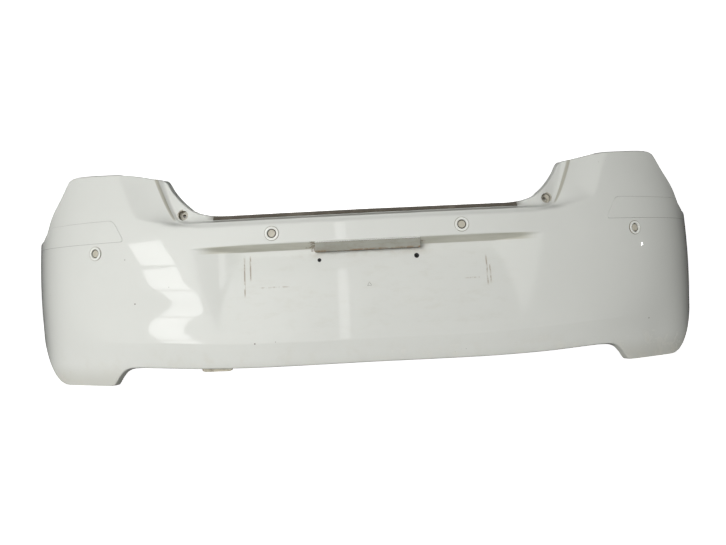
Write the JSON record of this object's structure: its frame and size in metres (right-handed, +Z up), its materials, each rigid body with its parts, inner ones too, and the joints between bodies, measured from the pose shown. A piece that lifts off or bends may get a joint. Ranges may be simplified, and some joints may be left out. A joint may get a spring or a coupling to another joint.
{
  "type": "rear bumper cover",
  "caption": "Moulded rear bumper cover for a small hatchback, with a recessed number-plate field, plate lamp, parking sensors and corner trim strips.",
  "frame": {"origin": "centre of the bounding box in plan, at the bottom of the two feet, on the floor that the cover stands on", "axes": "+X to the viewer's right when looking at the outside of the cover, +Y from the outside into the car, +Z up"},
  "size_m": [1.6818, 0.3326, 0.4795],
  "materials": {
    "painted_cover": "glossy off-white paint outside, bare dark plastic inside, with light scuffs and stone chips",
    "painted_trim": "glossy off-white paint",
    "seal_foam": "matt, dusty brown-black",
    "grey_plastic": "grained grey, stained along its lower edge",
    "screw_steel": "zinc plated, slightly rusty",
    "clear_lens": "clear moulded plastic with fine ribs",
    "bulb_glass": "clear glass",
    "socket_plastic": "matt black",
    "black_nylon": "satin black",
    "sensor_bezel_paint": "glossy off-white paint",
    "silicone": "matt olive grey",
    "sensor_face_paint": "satin beige",
    "sensor_black": "fine grained black",
    "contact_metal": "tinned",
    "holder_grey": "fine grained dark grey"
  },
  "bodies": {
    "root": {"bumper_skin": "painted_cover", "corner_moulding_left": "painted_trim", "corner_moulding_right": "painted_trim", "plate_grommet_left": "black_nylon", "plate_grommet_right": "black_nylon", "plate_lamp_bulb_left": "bulb_glass", "plate_lamp_bulb_right": "bulb_glass", "plate_lamp_housing": "grey_plastic", "plate_lamp_lens_left": "clear_lens", "plate_lamp_lens_right": "clear_lens", "plate_lamp_screws": "screw_steel", "plate_lamp_socket_left": "socket_plastic", "plate_lamp_socket_right": "socket_plastic", "sensor_bezel_inner_left": "sensor_bezel_paint", "sensor_bezel_inner_right": "sensor_bezel_paint", "sensor_bezel_outer_left": "sensor_bezel_paint", "sensor_bezel_outer_right": "sensor_bezel_paint", "sensor_decoupling_ring_inner_left": "silicone", "sensor_decoupling_ring_inner_right": "silicone", "sensor_decoupling_ring_outer_left": "silicone", "sensor_decoupling_ring_outer_right": "silicone", "sensor_face_inner_left": "sensor_face_paint", "sensor_face_inner_right": "sensor_face_paint", "sensor_face_outer_left": "sensor_face_paint", "sensor_face_outer_right": "sensor_face_paint", "sensor_holder_inner_left": "holder_grey", "sensor_holder_inner_right": "holder_grey", "sensor_holder_outer_left": "holder_grey", "sensor_holder_outer_right": "holder_grey", "sensor_housing_inner_left": "sensor_black", "sensor_housing_inner_right": "sensor_black", "sensor_housing_outer_left": "sensor_black", "sensor_housing_outer_right": "sensor_black", "sensor_terminals_inner_left": "contact_metal", "sensor_terminals_inner_right": "contact_metal", "sensor_terminals_outer_left": "contact_metal", "sensor_terminals_outer_right": "contact_metal", "upper_seal_strip": "seal_foam"}
  },
  "joints": []
}
